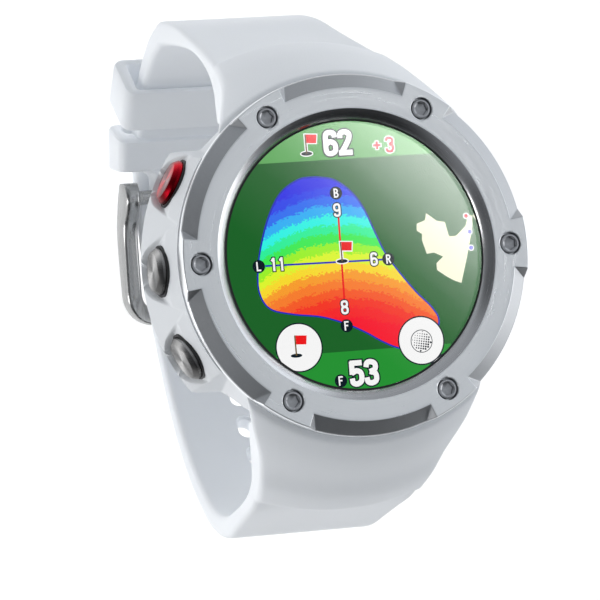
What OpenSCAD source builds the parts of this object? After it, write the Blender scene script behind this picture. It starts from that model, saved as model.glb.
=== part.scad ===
// Golf watch with a round screen, a screwed bezel and a closed rubber strap.
// +Z points out of the dial, +Y to 12 o'clock and +X to 3 o'clock.
// The origin is the centre of the case back's outer face.

/* [Bezel] */
// Outer radius of the bezel ring
bezel_r = 23.5; // [23.3:0.1:24]
// Height of the bezel's top face above the case back
bezel_top = 14; // [13.8:0.1:15]
// Thickness of the bezel ring
bezel_h = 2.1; // [2:0.1:2.3]
// Radius of the window in the bezel
window_r = 17.56; // [17.3:0.02:17.7]
// Radius at which the sloping inner edge meets the top face
slope_r = 18.87; // [18.6:0.01:19.2]
// Radius at which the six outer notches start
notch_r = 21.53; // [21:0.01:21.9]
// Angle that each notch spans at the top face
notch_angle = 43.6; // [38:0.1:46]
// Radius of the circle through the bezel screws
screw_circle_r = 21.06; // [20.9:0.02:21.2]
// Radius of a bezel screw's head
screw_head_r = 1.27; // [1.1:0.01:1.32]

/* [Case] */
// Distance from the case's middle to the widest part of the block round the buttons
flank_r = 25.9; // [25:0.1:26.5]
// Half length of the block round the buttons
guard_half = 16.2; // [16:0.1:16.4]
// Radius of the space for the board, screen and glass
cavity_r = 17.58; // [17.56:0.01:17.8]
// Radius of the case back plate
back_r = 20.8; // [20.4:0.1:21.4]
// Thickness of the case back plate
back_h = 2; // [1.8:0.1:2.2]

/* [Buttons] */
// Radius of a button's head
button_r = 3; // [2.8:0.05:3.1]
// Distance of the button faces from the watch's axis
button_face = 25.5; // [25.3:0.1:26]
// Height of the buttons' axes above the case back
button_z = 6.6; // [6.4:0.1:6.8]
// Angle between neighbouring buttons
button_pitch = 27.4; // [25:0.1:30]
// How far a button travels when it is pressed
button_travel = 0.8; // [0.5:0.1:0.8]

/* [Strap] */
// Gap between strap parts that slide on each other
slide_gap = 0.1; // [0.08:0.01:0.15]
// Thickness of the strap's tail
tail_t = 2.1; // [1.8:0.1:2.2]
// Thickness of the keepers' walls
keeper_wall = 1.3; // [1:0.1:1.5]
// Half of the width of a keeper
keeper_half_w = 12.9; // [12.6:0.1:13.2]
// Width of a strap hole
hole_w = 2.2; // [2:0.1:2.4]
// Length of a strap hole
hole_l = 3.4; // [3:0.1:3.6]
// Radius of the pin that the buckle turns on
bar_r = 1; // [0.8:0.05:1.1]

/* [Hidden] */
$fn = 96;

// Heights in the case
bezel_bottom = bezel_top - bezel_h;
lens_top = bezel_top - 1.05;
lens_h = 1;
panel_h = 0.95;
lens_bottom = lens_top - lens_h;
panel_bottom = lens_bottom - 0.02 - panel_h;
board_z = 8.4;
board_h = 1;
shelf_r = 17;
back_opening_r = 15.6;
back_opening_h = 1.1;
glass_r = 17.3;
screw_count = 6;
notch_count = 6;

// Fastener sizes
shank_r = 0.7;
shank_hole_r = 0.75;
head_recess_r = 1.39;
back_screw_circle_r = 19.2;
back_screw_head_r = 1;
back_screw_r = 0.5;

// Case outline: its wall's radius, and the height of the widest part of the block
wall_r = 22.6;
flank_z = 3.2;

// Spring bars that hold the straps
bar_y = 23.7;
bar_z = 4.2;
lug_half_w = 6;
lug_l = 4.4;
spring_bar_r = 0.9;

// Button parts
button_angles = [180 - button_pitch, 180, 180 + button_pitch];
head_depth = 2.3;
pocket_r = button_r + 0.12;
pocket_floor = button_face - head_depth - button_travel - 0.1;
stem_r = 0.8;
stem_end = 16.4;
boss_r = 3.7;
boss_face = 24.4;

// Arc that the strap follows under the keepers, in the plane of the loop:
// centre [y, z], then the radii of the strap's wrist side and outer side
arc_c = [14.2, -29];
arc_in = 19.8;
arc_out = 23.2;
tail_in = arc_out + slide_gap;
tail_out = tail_in + tail_t;
keeper_in = arc_in - 0.35;
keeper_out = tail_out + 0.25;
keeper_angle = 42;
keeper_l = 6.6;

// Loop of the fixed keeper: middle of its outer face and its slope
loop_c = [23, -53.6];
loop_tilt = 17;
loop_l = 6.6;

// Buckle: axis of its pin in the plane of the loop, and its outline
pin_c = [14.9, -49];
arm_w = 2.5;
arm_half_w = 12.75;
frame_end_y = -3.2;
cross_bar_w = 2.6;
tongue_half_w = 0.8;
strap_end_half_w = 8;

// Outer faces of the two straps' ends round the case, as [radius, height]
hood_upper = [[24, 11.85], [25.5, 8.8], [27.7, 4.1], [28.8, 1.4], [29.9, -1.6]];
hood_lower = [[24.2, 11.85], [26.6, 8.8], [29.1, 4.6], [31, 1.6], [32.5, -1.8]];
hood_inside_r = 22.7;

// Strap faces in the plane of the loop, as [y, z] from the case outwards
upper_outer = [[25.6, 2.4], [27.3, -2], [30.3, -9], [33.2, -16.3], [35.8, -23]];
upper_inner = [[17.6, 2.3], [17.6, -2], [22.4, -2.5], [25.4, -4.8], [28.3, -9.2], [30.8, -15],
    [32.6, -21.8]];
lower_outer = [[-26, 4], [-30, -1], [-31.9, -7.2], [-33.7, -15.2], [-34.7, -20], [-34.2, -25.8],
    [-32.6, -30.2], [-29.7, -34.4], [-25.9, -38.5], [-21.5, -42], [-17, -44.8], [-12, -47.2],
    [-6, -49.5], [-1, -51.1], [4, -52.2], [10, -53], [16, -53.7]];
lower_inner = [[-17.6, 2.3], [-17.6, -2.3], [-23.4, -2.6], [-26.6, -3.6], [-28.6, -6.2],
    [-30, -10.5], [-31, -15.6], [-31.6, -20.4],
    [-31.2, -25], [-29.8, -28.8], [-27.2, -32.5], [-23.7, -36.3], [-19.7, -39.6],
    [-15.6, -42.2], [-11, -44.6], [-5.2, -47.1], [-0.4, -48.9], [4.4, -50.1], [10.1, -50.9],
    [16, -51.6]];

// Half widths of the straps, as [half width, height]
upper_edge = [[17.1, 12.7], [15.1, 8.8], [13.3, 4.1], [12.1, -2.8], [11.4, -9], [10.9, -16.3],
    [10.7, -22.7], [10.6, -32], [10.2, -42], [10, -58]];
lower_edge = [[16.4, 12.7], [15, 9.6], [13.1, 5.2], [11.8, -1], [11.3, -7.2], [10.8, -15.2],
    [10.4, -20], [9.9, -30], [9.7, -44], [9.7, -58]];

// Strap holes, as [y, z, slope] of the middle of each
hole_spots = [[8, -51.6, 7], [1.4, -50.45, 15], [-4.2, -48.55, 21], [-9.6, -46.4, 23],
    [-14.9, -44, 26], [-19.9, -41.2, 33], [-24.4, -37.6, 42]];

// A smooth curve through four points, between the middle two
function curve_at(a, b, c, d, t) = 0.5 * (2 * b + (c - a) * t
    + (2 * a - 5 * b + 4 * c - d) * t * t + (3 * b - a - 3 * c + d) * t * t * t);

// A smooth curve through all the points of a list
function smooth(p, n = 5) = let (last = len(p) - 1)
    [for (i = [0:last]) for (k = [0:(i < last ? n - 1 : 0)])
        curve_at(p[max(i - 1, 0)], p[i], p[min(i + 1, last)], p[min(i + 2, last)], k / n)];

// Points of an arc in the plane of the loop; angles are measured from straight down
function arc(r, from, to, n) =
    [for (i = [0:n]) let (a = from + (to - from) * i / n) arc_c + r * [sin(a), -cos(a)]];

// A point beside the middle of the fixed keeper's outer face
function loop_point(inward, along) =
    loop_c + inward * [-sin(loop_tilt), cos(loop_tilt)] + along * [cos(loop_tilt), sin(loop_tilt)];

function back_to_front(p) = [for (i = [len(p) - 1:-1:0]) p[i]];

// Extrudes an outline drawn as [y, z] along X, both ways from the middle
module across(half_w) {
    rotate([90, 0, 90]) linear_extrude(2 * half_w, center = true) children();
}

// A prism along Y with the strap's width at every height
module width_prism(edge) {
    side = smooth(edge, 4);
    left = [for (p = back_to_front(side)) [-p[0], p[1]]];
    rotate([90, 0, 0]) linear_extrude(100, center = true) polygon(concat(side, left));
}

// Turns a shape built along +Z so that it points out of the case at an angle
module radially(angle) {
    rotate([0, 0, angle]) translate([0, 0, button_z]) rotate([0, 90, 0]) children();
}

module bezel_places() {
    for (k = [0:screw_count - 1]) rotate([0, 0, 60 * k]) translate([screw_circle_r, 0, 0]) children();
}

module back_places() {
    for (k = [0:3]) rotate([0, 0, 45 + 90 * k]) translate([back_screw_circle_r, 0, 0]) children();
}

// One notch in the bezel's outer edge: a cone, closed by two sloping ends
module notch() {
    drop = 1.28;
    reach = 1.97;
    far = 3;
    translate([0, 0, bezel_top]) intersection() {
        rotate_extrude() polygon([[notch_r, 1], [notch_r, 0],
            [notch_r + far, -drop * far / reach], [notch_r + far, 1]]);
        rotate([0, 0, -notch_angle / 2]) rotate([45, 0, 0])
            translate([0, 0, -20]) cube([40, 20, 40]);
        rotate([0, 0, notch_angle / 2]) rotate([-45, 0, 0])
            translate([0, -20, -20]) cube([40, 20, 40]);
    }
}

module bezel() {
    color("silver") difference() {
        rotate_extrude() polygon([[window_r, bezel_bottom], [window_r, bezel_top - 1],
            [slope_r, bezel_top], [bezel_r - 0.16, bezel_top], [bezel_r, bezel_top - 0.2],
            [bezel_r, bezel_bottom]]);
        for (k = [0:notch_count - 1]) rotate([0, 0, 30 + 60 * k]) notch();
        bezel_places() {
            translate([0, 0, bezel_top - 1.5]) cylinder(r = head_recess_r, h = 3, $fn = 32);
            translate([0, 0, bezel_bottom - 1]) cylinder(r = shank_hole_r, h = 4, $fn = 32);
        }
    }
}

module bezel_screws() {
    color("gainsboro") bezel_places() difference() {
        union() {
            translate([0, 0, bezel_top - 1.5]) cylinder(r = screw_head_r, h = 1.3, $fn = 32);
            translate([0, 0, bezel_top - 4.5]) cylinder(r = shank_r, h = 3.2, $fn = 32);
        }
        translate([0, 0, bezel_top - 1.1]) cylinder(r = 0.87, h = 2, $fn = 6);
    }
}

module lens() {
    color([0.8, 0.9, 0.95, 0.4]) translate([0, 0, lens_bottom]) cylinder(r = glass_r, h = lens_h);
}

module lens_gasket() {
    color("black") translate([0, 0, panel_bottom]) difference() {
        cylinder(r = window_r - 0.01, h = lens_top - panel_bottom);
        translate([0, 0, -1]) cylinder(r = glass_r + 0.01, h = 5);
    }
}

module display_panel() {
    color("green") translate([0, 0, panel_bottom]) cylinder(r = glass_r, h = panel_h);
}

module display_holder() {
    color("dimgray") translate([0, 0, board_z + board_h]) difference() {
        cylinder(r = cavity_r - 0.13, h = panel_bottom - board_z - board_h);
        translate([0, 0, -1]) cylinder(r = 15.8, h = 5);
    }
}

module display_flex() {
    h = panel_bottom - board_z - board_h;
    color("orange") translate([-3, -15.4, board_z + board_h]) cube([6, 0.15, h]);
}

module main_board() {
    color("darkgreen") translate([0, 0, board_z]) {
        cylinder(r = cavity_r - 0.13, h = board_h);
        translate([-6, 3, board_h]) cube([7, 7, 0.9]);
        translate([4, 4, board_h]) cube([5, 5, 0.8]);
        translate([2, -8, board_h]) cube([4, 3, 0.7]);
        translate([-8, -8, board_h]) cube([5, 4, 0.7]);
    }
}

module gps_antenna() {
    color("khaki") translate([0, 0, 4]) rotate([0, 0, -40])
        rotate_extrude(angle = 125) translate([16.1, 0]) square([0.8, 4.3]);
}

module battery() {
    color("slategray") translate([2.2, -1, 3.3]) {
        translate([-10, -9.5, 0]) cube([20, 19, 4.2]);
        translate([-3, 9.5, 0.8]) cube([6, 1, 2.4]);
    }
}

module vibration_motor() {
    color("lightgray") translate([-4.4, 12.3, 3.3]) cylinder(r = 3.5, h = 2.7);
}

// Room for one button: pocket for its head, seat for its seal, way for its stem
module button_room(angle) {
    radially(angle) {
        translate([0, 0, pocket_floor]) cylinder(r = pocket_r, h = 10);
        translate([0, 0, pocket_floor - 1.2]) cylinder(r = 1.35, h = 2);
        cylinder(r = stem_r + 0.04, h = 30);
    }
}

module case_body() {
    color("whitesmoke") difference() {
        union() {
            rotate_extrude() polygon([[back_opening_r, back_h], [wall_r - 0.4, back_h],
                [wall_r, back_h + 0.4], [wall_r, bezel_bottom], [back_opening_r, bezel_bottom]]);
            button_guard();
            for (a = button_angles) intersection() {
                radially(a) cylinder(r = boss_r, h = boss_face);
                cylinder(r = 30, h = bezel_bottom);
            }
            for (s = [-1, 1]) translate([-lug_half_w, s * (bar_y - 0.2) - lug_l / 2, 2.6])
                cube([2 * lug_half_w, lug_l, 3.4]);
        }
        translate([0, 0, board_z]) cylinder(r = cavity_r, h = 10);
        translate([0, 0, back_h + back_opening_h]) cylinder(r = shelf_r, h = 20);
        translate([0, 0, -1]) cylinder(r = back_opening_r, h = 20);
        for (a = button_angles) button_room(a);
        bezel_places() translate([0, 0, bezel_top - 5]) cylinder(r = shank_hole_r, h = 5, $fn = 32);
        back_places() translate([0, 0, 1]) cylinder(r = back_screw_r + 0.03, h = 5, $fn = 32);
        for (s = [-1, 1]) translate([0, s * bar_y, bar_z]) rotate([0, 90, 0])
            cylinder(r = spring_bar_r + 0.05, h = 40, center = true, $fn = 32);
    }
}

// The block that stands out round the buttons, with sloping ends
module button_guard() {
    top_half = guard_half - 0.2 * bezel_bottom;
    intersection() {
        rotate_extrude() polygon([[wall_r - 1, back_h], [wall_r - 0.2, back_h],
            [flank_r - 0.9, back_h + 0.2], [flank_r, flank_z], [bezel_r, bezel_bottom],
            [wall_r - 1, bezel_bottom]]);
        translate([-20, 0, 0]) across(10) polygon([[-guard_half, 0], [guard_half, 0],
            [top_half, bezel_bottom + 0.01], [-top_half, bezel_bottom + 0.01]]);
    }
}

module case_back() {
    color("lightsteelblue") difference() {
        union() {
            rotate_extrude() polygon([[0, 0], [18.6, 0], [back_r, 1], [back_r, back_h], [0, back_h]]);
            cylinder(r = back_opening_r - 0.05, h = back_h + 1);
        }
        rotate_extrude() translate([16.4, back_h - 0.75]) square([0.9, 2]);
        back_places() {
            translate([0, 0, -1]) cylinder(r = back_screw_head_r + 0.05, h = 2.2, $fn = 32);
            cylinder(r = back_screw_r + 0.05, h = 5, $fn = 32);
        }
        translate([-6, -13, -1]) cube([12, 4, 2.6]);
    }
}

module back_gasket() {
    color("black") rotate_extrude() translate([16.45, back_h - 0.74]) square([0.8, 0.73]);
}

module back_screws() {
    color("silver") back_places() difference() {
        union() {
            translate([0, 0, 0.3]) cylinder(r = back_screw_head_r, h = 0.89, $fn = 32);
            translate([0, 0, 0.3]) cylinder(r = back_screw_r, h = 4.6, $fn = 32);
        }
        translate([0, 0, -0.4]) cylinder(r = 0.5, h = 1.2, $fn = 6);
    }
}

module contact_block() {
    color("black") difference() {
        translate([-5.95, -12.95, 0.1]) cube([11.9, 3.9, 1.48]);
        contact_places() translate([0, 0, -1]) cylinder(r = 0.92, h = 4, $fn = 32);
    }
}

module contact_places() {
    for (k = [0:3]) translate([-4.2 + 2.8 * k, -11, 0]) children();
}

module charge_contacts() {
    color("gold") contact_places() translate([0, 0, 0.05]) cylinder(r = 0.9, h = 1.53, $fn = 32);
}

// A button: a cupped head with a bevelled edge, on a stem
module button(angle) {
    bevel = 0.45;
    front = button_face;
    radially(angle) rotate_extrude() polygon([[0, front], [button_r - bevel, front],
        [button_r, front - bevel], [button_r, front - head_depth], [2.4, front - head_depth],
        [2.4, front - head_depth + 1.5], [stem_r, front - head_depth + 1.5], [stem_r, stem_end],
        [0, stem_end]]);
}

module button_upper() {
    color("red") button(button_angles[0]);
}

module button_middle() {
    color("silver") button(button_angles[1]);
}

module button_lower() {
    color("silver") button(button_angles[2]);
}

// The clip that keeps a button's stem in the case
module clip(angle) {
    color("gray") radially(angle) translate([0, 0, stem_end + 0.1]) difference() {
        cylinder(r = 1.5, h = 0.35, $fn = 32);
        translate([0, 0, -1]) cylinder(r = stem_r + 0.01, h = 3);
        translate([-0.45, 0, -1]) cube([0.9, 3, 3]);
    }
}

// A spring stands in the cup of a button's head, round the stem
module spring(angle) {
    coils = 4;
    wire_r = 0.16;
    coil_r = 1.8;
    length = head_depth + button_travel + 0.1 - (head_depth - 1.5);
    color("gray") radially(angle) for (k = [0:coils])
        translate([0, 0, pocket_floor + wire_r + k * (length - 2 * wire_r) / coils])
            rotate_extrude() translate([coil_r, 0]) circle(r = wire_r, $fn = 16);
}

module button_seals() {
    color("black") for (a = button_angles) radially(a) translate([0, 0, pocket_floor - 1.18])
        difference() {
            cylinder(r = 1.34, h = 0.6, $fn = 32);
            translate([0, 0, -1]) cylinder(r = stem_r + 0.02, h = 3);
        }
}

module button_switches() {
    room = 0.05;
    color("darkslategray") for (a = button_angles)
        rotate([0, 0, a]) translate([stem_end - button_travel - room, 0, button_z]) {
            translate([-2.2, -1.75, -1.5]) cube([1.9, 3.5, 3.3 - room * 2]);
            translate([-0.3, -0.6, -0.6]) cube([0.3, 1.2, 1.2]);
        }
}

// The solid end of a strap that hugs the case, round one spring bar
module hood(outline, edge, turn) {
    inside = [[hood_inside_r, -1.6], [hood_inside_r, 11.85]];
    rotate([0, 0, turn]) difference() {
        intersection() {
            rotate_extrude() polygon(concat(outline, inside));
            width_prism(edge);
            translate([-30, 12, -10]) cube([60, 40, 40]);
        }
        translate([-lug_half_w - 0.1, 10, -5]) cube([2 * lug_half_w + 0.2, bar_y - 10 + 2.1, 11.1]);
    }
}

module spring_bar_hole(turn) {
    rotate([0, 0, turn]) translate([0, bar_y, bar_z]) rotate([0, 90, 0])
        cylinder(r = spring_bar_r + 0.03, h = 19.4, center = true, $fn = 32);
}

module upper_profile() {
    along_outer = concat(smooth(concat(upper_outer, [arc_c + [arc_out, 0]])), arc(arc_out, 88, 33, 12));
    along_inner = concat(smooth(concat(upper_inner, [arc_c + [arc_in, 0]])), arc(arc_in, 88, 33, 12));
    half = loop_l / 2;
    outer_end = [loop_point(3.6, half), loop_point(3.6, -half), [17.6, -51.2],
        [pin_c[0], pin_c[1] - 1.8]];
    inner_end = [loop_point(6.7, 0), [17.4, -47.4], [pin_c[0], pin_c[1] + 1.8]];
    polygon(concat(along_outer, outer_end, back_to_front(concat(along_inner, inner_end))));
}

// The band that holds the tail, moulded on the upper strap
module fixed_keeper() {
    half = loop_l / 2;
    inner = 7.4;
    across(keeper_half_w) polygon([loop_point(0.5, half), loop_point(0, half - 0.5),
        loop_point(0, 0.5 - half), loop_point(0.5, -half), loop_point(inner, -half + 0.6),
        loop_point(inner, half - 1.2)]);
}

module fixed_keeper_room() {
    half = 6;
    inward = [keeper_wall, keeper_wall + tail_t + 0.25];
    across(keeper_half_w - keeper_wall - 0.5) polygon([loop_point(inward[0], half),
        loop_point(inward[0], -half), loop_point(inward[1], -half), loop_point(inward[1], half)]);
}

module strap_upper() {
    color("whitesmoke") difference() {
        union() {
            hood(hood_upper, upper_edge, 0);
            intersection() {
                across(30) upper_profile();
                width_prism(upper_edge);
                union() {
                    translate([-30, 17.8, -70]) cube([60, 60, 100]);
                    translate([-strap_end_half_w, 0, -70]) cube([2 * strap_end_half_w, 60, 30]);
                }
            }
            translate([0, pin_c[0], pin_c[1]]) rotate([0, 90, 0])
                cylinder(r = 1.8, h = 2 * strap_end_half_w, center = true);
            fixed_keeper();
        }
        fixed_keeper_room();
        translate([0, 0, -5]) cylinder(r = hood_inside_r, h = 35);
        translate([-lug_half_w - 0.1, 10, -1]) cube([2 * lug_half_w + 0.2, bar_y - 10 + 2.1, 7.1]);
        spring_bar_hole(0);
        translate([0, pin_c[0], pin_c[1]]) rotate([0, 90, 0])
            cylinder(r = bar_r + 0.04, h = 40, center = true);
        translate([-1.7, pin_c[0] - 5, pin_c[1] - 4]) cube([3.4, 7.2, 8]);
    }
}

module lower_profile() {
    end = 45;
    half = loop_l / 2;
    in = keeper_wall + 0.12;
    outer_end = concat([loop_point(in, -half), loop_point(in, half)], arc(tail_out, 33, end, 4));
    inner_end = concat([loop_point(in + tail_t, -half), loop_point(in + tail_t, half)],
        arc(tail_in, 33, end, 4));
    polygon(concat(smooth(lower_outer), outer_end,
        back_to_front(concat(smooth(lower_inner), inner_end))));
}

module strap_holes() {
    for (h = hole_spots) translate([0, h[0], h[1]]) rotate([-h[2], 0, 0]) {
        translate([-hole_w / 2, -(hole_l - hole_w) / 2, -3]) cube([hole_w, hole_l - hole_w, 6]);
        for (s = [-1, 1]) translate([0, s * (hole_l - hole_w) / 2, 0])
            cylinder(r = hole_w / 2, h = 6, center = true, $fn = 32);
    }
}

module strap_lower() {
    color("whitesmoke") difference() {
        union() {
            hood(hood_lower, lower_edge, 180);
            intersection() {
                across(30) lower_profile();
                width_prism(lower_edge);
            }
        }
        translate([0, 0, -5]) cylinder(r = hood_inside_r, h = 35);
        translate([-lug_half_w - 0.1, -bar_y - 2.1, -1]) cube([2 * lug_half_w + 0.2, 10, 7.1]);
        spring_bar_hole(180);
        strap_holes();
    }
}

module spring_bars() {
    color("silver") for (s = [-1, 1]) translate([0, s * bar_y, bar_z]) rotate([0, 90, 0]) {
        cylinder(r = spring_bar_r, h = 17.4, center = true, $fn = 32);
        cylinder(r = 0.5, h = 19.2, center = true, $fn = 32);
    }
}

module buckle_bar() {
    color("silver") translate([0, pin_c[0], pin_c[1]]) rotate([0, 90, 0])
        cylinder(r = bar_r, h = 2 * arm_half_w - 1.2, center = true);
}

// The buckle's side view: an eye round the pin, then an arm to the cross bar
module arm_profile() {
    eye = pin_c + [0, 0.2];
    polygon(smooth([[13.6, -47], [11.5, -49.1], [7, -50], [1, -50.3], [-3.4, -50.4], [-3.6, -53.2],
        [1, -53.8], [6, -53.9], [10.2, -53.6], [13.6, -52.6], [16.2, -50.6]], 4));
    translate(eye) circle(r = 2.2);
}

module buckle_outline(inset) {
    corner = 4.5 - inset;
    half = arm_half_w - inset;
    low = frame_end_y + inset;
    top = 30;
    for (s = [-1, 1]) translate([s * (half - corner), low + corner]) circle(r = corner);
    translate([-half, low + corner]) square([2 * half, top]);
    translate([-half + corner, low]) square([2 * (half - corner), top]);
}

module buckle_frame() {
    color("silver") difference() {
        intersection() {
            across(arm_half_w) arm_profile();
            translate([0, 0, -60]) linear_extrude(20) buckle_outline(0);
        }
        translate([0, 0, -60]) linear_extrude(20) difference() {
            buckle_outline(arm_w);
            translate([-20, frame_end_y - 1]) square([40, cross_bar_w + 1]);
        }
        translate([-20, frame_end_y - 1, -51.75]) cube([40, cross_bar_w + 1.01, 5]);
        translate([arm_w - arm_half_w, frame_end_y - 1, -51.75])
            cube([2 * (arm_half_w - arm_w), cross_bar_w + 3.2, 5]);
        translate([0, pin_c[0], pin_c[1]]) rotate([0, 90, 0])
            cylinder(r = bar_r + 0.04, h = 2 * arm_half_w - 1, center = true);
    }
}

// The tongue: an eye on the pin, then a bent pin that goes through the tail's hole
module buckle_tongue() {
    color("silver") difference() {
        union() {
            across(tongue_half_w) polygon(concat(
                smooth([pin_c + [0, 1.5], [11.5, -48.8], [9.2, -49.2], [7.9, -50.6], [7.1, -52.2],
                    [5.4, -53], [1, -53.5], [-3, -53.95]], 4),
                smooth([[-3.3, -54.5], [-2.8, -55], [1.4, -54.9], [5, -54.3], [6.9, -53.4],
                    [8, -52], [8.9, -50.4], [10, -50], [12.6, -50.2], pin_c + [0, -1.5]], 4)));
            translate([0, pin_c[0], pin_c[1]]) rotate([0, 90, 0])
                cylinder(r = 1.7, h = 3, center = true);
        }
        translate([0, pin_c[0], pin_c[1]]) rotate([0, 90, 0])
            cylinder(r = bar_r + 0.04, h = 10, center = true);
    }
}

// The free keeper: a band round both straps, in place on their arc
module keeper_free() {
    half = keeper_l / 2;
    low = keeper_in - keeper_wall;
    high = keeper_out + keeper_wall;
    round_r = 1.6;
    color("whitesmoke") translate([0, arc_c[0], arc_c[1]]) rotate([keeper_angle, 0, 0])
        intersection() {
            rotate([90, 0, 0]) linear_extrude(keeper_l, center = true) difference() {
                band(keeper_half_w, low, high, round_r);
                band(keeper_half_w - keeper_wall - 0.6, keeper_in, keeper_out, 0.6);
            }
            across(20) polygon([[-half, -high + 0.5], [0.5 - half, -high], [half - 0.5, -high],
                [half, -high + 0.5], [half - 0.5, -low], [0.7 - half, -low]]);
        }
}

// A rounded rectangle from one radius to another, below the arc's centre
module band(half_w, near, far, r) {
    for (x = [-1, 1]) for (y = [-near - r, -far + r])
        translate([x * (half_w - r), y]) circle(r = r);
    translate([-half_w, -far + r]) square([2 * half_w, far - near - 2 * r]);
    translate([-half_w + r, -far]) square([2 * (half_w - r), far - near]);
}

bezel();
bezel_screws();
lens();
lens_gasket();
display_panel();
display_holder();
display_flex();
main_board();
gps_antenna();
battery();
vibration_motor();
case_body();
case_back();
back_gasket();
back_screws();
contact_block();
charge_contacts();
button_upper();
button_middle();
button_lower();
clip(button_angles[0]);  // clip_upper
clip(button_angles[1]);  // clip_middle
clip(button_angles[2]);  // clip_lower
spring(button_angles[0]);  // spring_upper
spring(button_angles[1]);  // spring_middle
spring(button_angles[2]);  // spring_lower
button_seals();
button_switches();
strap_upper();
strap_lower();
spring_bars();
buckle_bar();
buckle_frame();
buckle_tongue();
keeper_free();
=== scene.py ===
"""Looks of a golf watch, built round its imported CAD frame. Shapes are given in millimetres."""
import math

import bmesh
import bpy
import numpy as np
from mathutils import Matrix, Vector


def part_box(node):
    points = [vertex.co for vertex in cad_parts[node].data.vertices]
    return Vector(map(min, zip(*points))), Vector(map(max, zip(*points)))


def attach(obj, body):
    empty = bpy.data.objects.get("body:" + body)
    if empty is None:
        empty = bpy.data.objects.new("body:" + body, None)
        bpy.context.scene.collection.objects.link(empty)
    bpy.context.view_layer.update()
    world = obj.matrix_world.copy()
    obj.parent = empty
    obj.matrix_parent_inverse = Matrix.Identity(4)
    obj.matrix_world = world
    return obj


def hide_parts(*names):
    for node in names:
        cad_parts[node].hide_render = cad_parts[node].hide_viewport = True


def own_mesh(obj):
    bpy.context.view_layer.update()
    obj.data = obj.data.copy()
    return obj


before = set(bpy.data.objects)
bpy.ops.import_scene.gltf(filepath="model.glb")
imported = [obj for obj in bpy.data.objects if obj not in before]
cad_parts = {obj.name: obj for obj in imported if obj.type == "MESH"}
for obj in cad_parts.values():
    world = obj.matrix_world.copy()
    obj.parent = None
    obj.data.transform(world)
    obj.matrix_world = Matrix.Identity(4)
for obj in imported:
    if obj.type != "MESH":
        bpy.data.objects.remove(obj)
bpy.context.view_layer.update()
MM = 0.001


def placed(name, data):
    """A new object in the scene that holds the data."""
    made = bpy.data.objects.new(name, data)
    bpy.context.scene.collection.objects.link(made)
    return made


# ---- camera
VIEW_TURN, VIEW_TILT, VIEW_ROLL = 19.33, 4.14, -5.36
VIEW_DISTANCE = 526.5
VIEW_LENS = 245.8
DIAL_CENTRE = Vector((0, 0, 14))
AIM_LEFT, AIM_DOWN = 7.47, 5.96


def make_camera():
    """A camera that looks down on the dial, with the dial up and right of the picture's middle."""
    turn, tilt, roll = (math.radians(a) for a in (VIEW_TURN, VIEW_TILT, VIEW_ROLL))
    back = Vector((-math.sin(turn) * math.cos(tilt), -math.sin(tilt), math.cos(turn) * math.cos(tilt)))
    level = Vector((0, 1, 0)).cross(back).normalized()
    upright = back.cross(level)
    right = math.cos(roll) * level + math.sin(roll) * upright
    up = math.cos(roll) * upright - math.sin(roll) * level
    place = DIAL_CENTRE + back * VIEW_DISTANCE
    away = (place - (DIAL_CENTRE - AIM_LEFT * right - AIM_DOWN * up)).normalized()
    across = up.cross(away).normalized()
    matrix = Matrix((across, away.cross(across), away)).transposed().to_4x4()
    matrix.translation = place * MM
    data = bpy.data.cameras.new("camera")
    data.lens = VIEW_LENS
    data.clip_start, data.clip_end = 0.01, 20
    camera = placed("camera", data)
    camera.matrix_world = matrix
    bpy.context.scene.camera = camera


make_camera()


# ---- curves and solids
def smooth(points, steps=6):
    """A smooth curve through the points, which may have any number of values each."""
    p = np.array(points, float)
    p = np.vstack([2 * p[0] - p[1], p, 2 * p[-1] - p[-2]])
    t = np.linspace(0, 1, steps, endpoint=False)[:, None]
    parts = []
    for a, b, c, d in zip(p, p[1:], p[2:], p[3:]):
        parts.append(0.5 * (2 * b + (c - a) * t + (2 * a - 5 * b + 4 * c - d) * t**2
                            + (3 * b - a - 3 * c + d) * t**3))
    return np.vstack(parts + [p[-2]])


def table(points):
    """A smooth function through (input, output) pairs."""
    curve = smooth(points, 8)
    curve = curve[np.argsort(curve[:, 0])]
    return lambda x: np.interp(x, curve[:, 0], curve[:, 1])


def soft_min(a, b, width=0.05):
    """The smaller of two values, eased over a width where they meet."""
    return 0.5 * (a + b - np.sqrt((a - b)**2 + width**2))


def soft_max(a, b, width=0.05):
    return 0.5 * (a + b + np.sqrt((a - b)**2 + width**2))


def solid(rings, closed=False):
    """A mesh through rings of points. closed joins the last ring to the first; open ends are capped."""
    rings = np.array(rings, float)
    count, size = rings.shape[:2]
    mesh = bpy.data.meshes.new("solid")
    faces = []
    for k in range(count if closed else count - 1):
        here, there = k * size, (k + 1) % count * size
        faces += [(here + i, here + (i + 1) % size, there + (i + 1) % size, there + i) for i in range(size)]
    if not closed:
        faces += [tuple(range(size))[::-1], tuple((count - 1) * size + i for i in range(size))]
    mesh.from_pydata((rings.reshape(-1, 3) * MM).tolist(), [], faces)
    tidy_mesh(mesh)
    return mesh


def tidy_mesh(mesh):
    """Merges doubled points and turns the faces outwards."""
    bm = bmesh.new()
    bm.from_mesh(mesh)
    bmesh.ops.remove_doubles(bm, verts=bm.verts, dist=1e-7)
    bmesh.ops.recalc_face_normals(bm, faces=bm.faces)
    bm.to_mesh(mesh)
    bm.free()


def turned(profile, steps=96, closed=True):
    """A solid of revolution about Z from (radius, height) points."""
    angles = np.linspace(0, 2 * np.pi, steps, endpoint=False)
    rings = [[(r * math.cos(a), r * math.sin(a), z) for r, z in profile] for a in angles]
    if closed:
        return solid(rings, closed=True)
    rings = [[(r * math.cos(a), r * math.sin(a), z) for a in angles] for r, z in profile]
    return solid(rings)


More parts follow.
